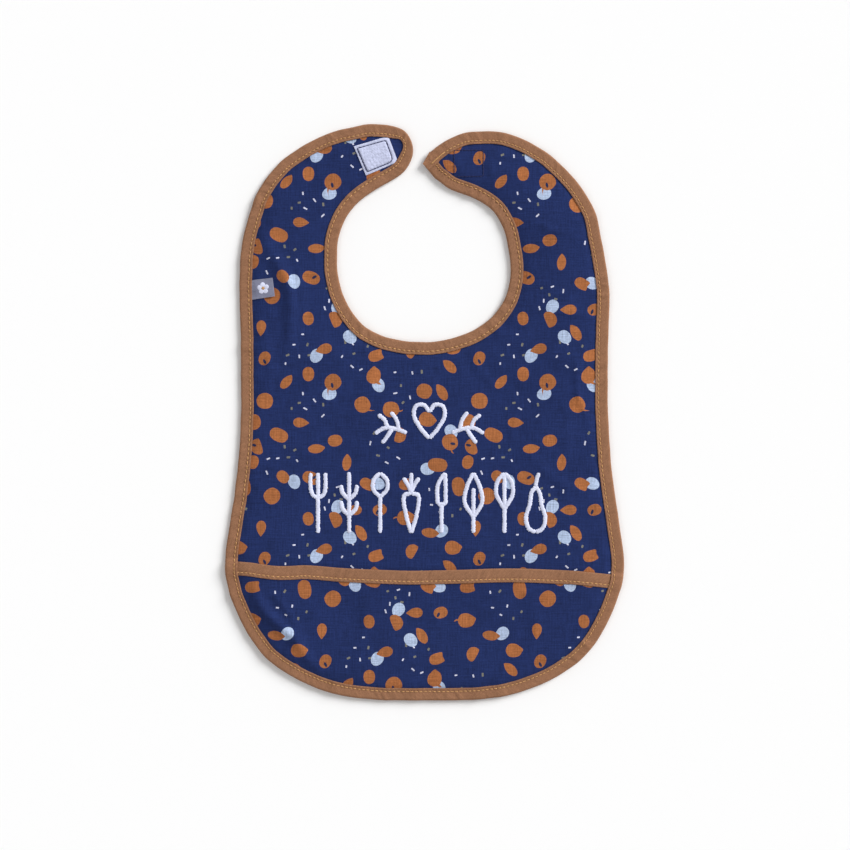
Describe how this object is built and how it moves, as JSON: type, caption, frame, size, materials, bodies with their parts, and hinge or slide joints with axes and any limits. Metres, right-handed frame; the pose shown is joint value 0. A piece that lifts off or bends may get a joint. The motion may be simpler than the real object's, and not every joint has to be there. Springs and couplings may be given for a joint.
{
  "type": "baby bib",
  "caption": "Flat cloth baby bib with two neck straps closed by hook-and-loop pads, taped edges, embroidery and a crumb pocket across the hem.",
  "frame": {"origin": "below the middle of the bib's outline, on the surface that the bib lies on", "axes": "+Z out of the printed face, +Y from the hem to the strap ends, +X to the right when the printed face is seen with the straps up"},
  "size_m": [0.2498, 0.3605, 0.0042],
  "materials": {
    "printed_cotton": "matte woven cotton, navy ground with a small nut print",
    "coated_backing": "smooth waterproof coated cloth, off-white",
    "bias_tape": "matte brown woven bias tape",
    "ochre_thread": "ochre polyester sewing thread",
    "dark_thread": "dark blue-grey sewing thread",
    "white_thread": "satin white embroidery thread",
    "loop_pile": "short white brushed loop pile",
    "hook_tape": "white nylon hook tape",
    "label_ribbon": "grey satin ribbon"
  },
  "bodies": {
    "bib": {"front_panel": "printed_cotton", "back_panel": "coated_backing", "edge_binding_outer": "bias_tape", "edge_binding_neck": "bias_tape", "stitch_outer": "ochre_thread", "stitch_neck": "ochre_thread", "embroidery_heart": "white_thread", "embroidery_branch_left": "white_thread", "embroidery_branch_right": "white_thread", "embroidery_fork": "white_thread", "embroidery_wheat": "white_thread", "embroidery_spoon": "white_thread", "embroidery_carrot": "white_thread", "embroidery_knife": "white_thread", "embroidery_leaf": "white_thread", "embroidery_whisk": "white_thread", "embroidery_pear": "white_thread"},
    "left_strap": {"front_left_strap": "printed_cotton", "back_left_strap": "coated_backing", "binding_left_strap": "bias_tape", "stitch_left_strap": "ochre_thread", "loop_pad": "loop_pile", "stitch_loop_pad": "dark_thread"},
    "right_strap": {"front_right_strap": "printed_cotton", "back_right_strap": "coated_backing", "binding_right_strap": "bias_tape", "stitch_right_strap": "ochre_thread", "binding_join_tab": "bias_tape", "hook_pad": "hook_tape", "stitch_hook_pad": "dark_thread"},
    "pocket": {"pocket_panel": "printed_cotton", "pocket_binding": "bias_tape", "stitch_pocket": "ochre_thread"},
    "label": {"side_label": "label_ribbon"}
  },
  "joints": [
    {"name": "left_strap_fold", "type": "hinge", "parent": "bib", "child": "left_strap", "pos_m": [-0.0525, 0.0799, 0.0007], "axis": [-0.9395, -0.3426, 0], "range_deg": [-45, 96]},
    {"name": "right_strap_fold", "type": "hinge", "parent": "bib", "child": "right_strap", "pos_m": [0.0525, 0.0799, 0.0007], "axis": [-0.9395, 0.3426, 0], "range_deg": [-20, 78]},
    {"name": "pocket_open", "type": "hinge", "parent": "bib", "child": "pocket", "pos_m": [0, -0.1718, 0.0031], "axis": [1, 0, 0], "range_deg": [0, 20]},
    {"name": "label_flip", "type": "hinge", "parent": "left_strap", "child": "label", "pos_m": [-0.10715, 0.077, 0.003], "axis": [0, -1, 0], "range_deg": [0, 150]}
  ]
}
